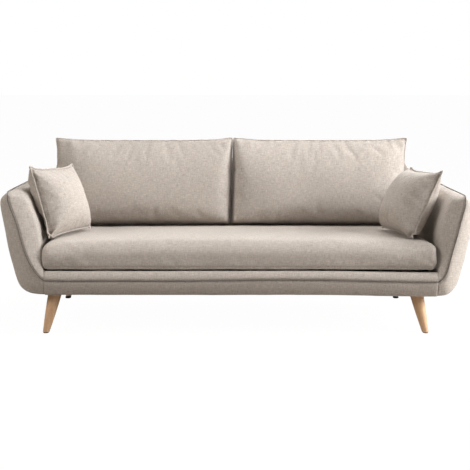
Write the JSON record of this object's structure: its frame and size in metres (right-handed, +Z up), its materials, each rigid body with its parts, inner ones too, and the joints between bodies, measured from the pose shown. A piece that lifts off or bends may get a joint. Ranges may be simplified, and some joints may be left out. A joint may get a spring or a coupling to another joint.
{
  "type": "three-seat sofa",
  "caption": "Upholstered three-seat sofa with flared arms, piped shell, loose seat, back and scatter cushions and splayed tapered wooden legs.",
  "frame": {"origin": "on the floor, under the middle of the whole object's box", "axes": "+X along the sofa's length, towards the right arm as seen from the front; -Y is the front; +Z is up"},
  "size_m": [2.012, 0.8556, 0.8074],
  "materials": {
    "upholstery": "warm grey-beige woven melange, matt with a soft sheen",
    "cushion_fabric": "warm grey-beige woven melange, matt with a soft sheen",
    "piping": "the same cloth over a cord, a little darker",
    "frame_wood": "sawn softwood and bent board, unfinished",
    "leg_wood": "light oak with a clear matt lacquer",
    "steel": "plain zinc-plated steel",
    "black_cloth": "black non-woven cloth",
    "black_plastic": "black moulded plastic"
  },
  "bodies": {
    "root": {"front_rail_pad": "upholstery", "back_inner_pad": "upholstery", "back_outer_pad": "upholstery", "back_top_pad": "upholstery", "arm_nose_left": "upholstery", "arm_nose_right": "upholstery", "arm_outer_pad_left": "upholstery", "arm_outer_pad_right": "upholstery", "arm_inner_pad_left": "upholstery", "arm_inner_pad_right": "upholstery", "arm_top_pad_left": "upholstery", "arm_top_pad_right": "upholstery", "front_rail_piping": "piping", "arm_piping_left": "piping", "arm_piping_right": "piping", "front_rail": "frame_wood", "rear_rail": "frame_wood", "back_top_rail": "frame_wood", "back_post_centre": "frame_wood", "side_rail_left": "frame_wood", "side_rail_right": "frame_wood", "stretcher_left": "frame_wood", "stretcher_right": "frame_wood", "arm_board_left": "frame_wood", "arm_board_right": "frame_wood", "back_post_left": "frame_wood", "back_post_right": "frame_wood", "corner_block_front_left": "frame_wood", "corner_block_front_right": "frame_wood", "corner_block_rear_left": "frame_wood", "corner_block_rear_right": "frame_wood", "leg_front_left": "leg_wood", "leg_front_right": "leg_wood", "leg_rear_left": "leg_wood", "leg_rear_right": "leg_wood", "leg_bolt_front_left": "steel", "leg_bolt_front_right": "steel", "leg_bolt_rear_left": "steel", "leg_bolt_rear_right": "steel", "leg_plate_front_left": "steel", "leg_plate_front_right": "steel", "leg_plate_rear_left": "steel", "leg_plate_rear_right": "steel", "seat_spring_1": "steel", "seat_spring_2": "steel", "seat_spring_3": "steel", "seat_spring_4": "steel", "seat_spring_5": "steel", "seat_spring_6": "steel", "seat_deck": "black_cloth", "dust_cover": "black_cloth", "leg_glide_front_left": "black_plastic", "leg_glide_front_right": "black_plastic", "leg_glide_rear_left": "black_plastic", "leg_glide_rear_right": "black_plastic"},
    "seat": {"seat_cushion": "cushion_fabric"},
    "back_left": {"back_cushion_left": "cushion_fabric"},
    "back_right": {"back_cushion_right": "cushion_fabric"},
    "scatter_left": {"pillow_left": "cushion_fabric"},
    "scatter_right": {"pillow_right": "cushion_fabric"}
  },
  "joints": [
    {"name": "seat_lift", "type": "slide", "parent": "root", "child": "seat", "axis": [0, 0, 1], "range_m": [0, 0.25]},
    {"name": "back_left_lift", "type": "slide", "parent": "seat", "child": "back_left", "axis": [0, 0, 1], "range_m": [0, 0.3]},
    {"name": "back_right_lift", "type": "slide", "parent": "seat", "child": "back_right", "axis": [0, 0, 1], "range_m": [0, 0.3]},
    {"name": "scatter_left_lift", "type": "slide", "parent": "seat", "child": "scatter_left", "axis": [0, 0, 1], "range_m": [0, 0.25]},
    {"name": "scatter_right_lift", "type": "slide", "parent": "seat", "child": "scatter_right", "axis": [0, 0, 1], "range_m": [0, 0.25]}
  ]
}
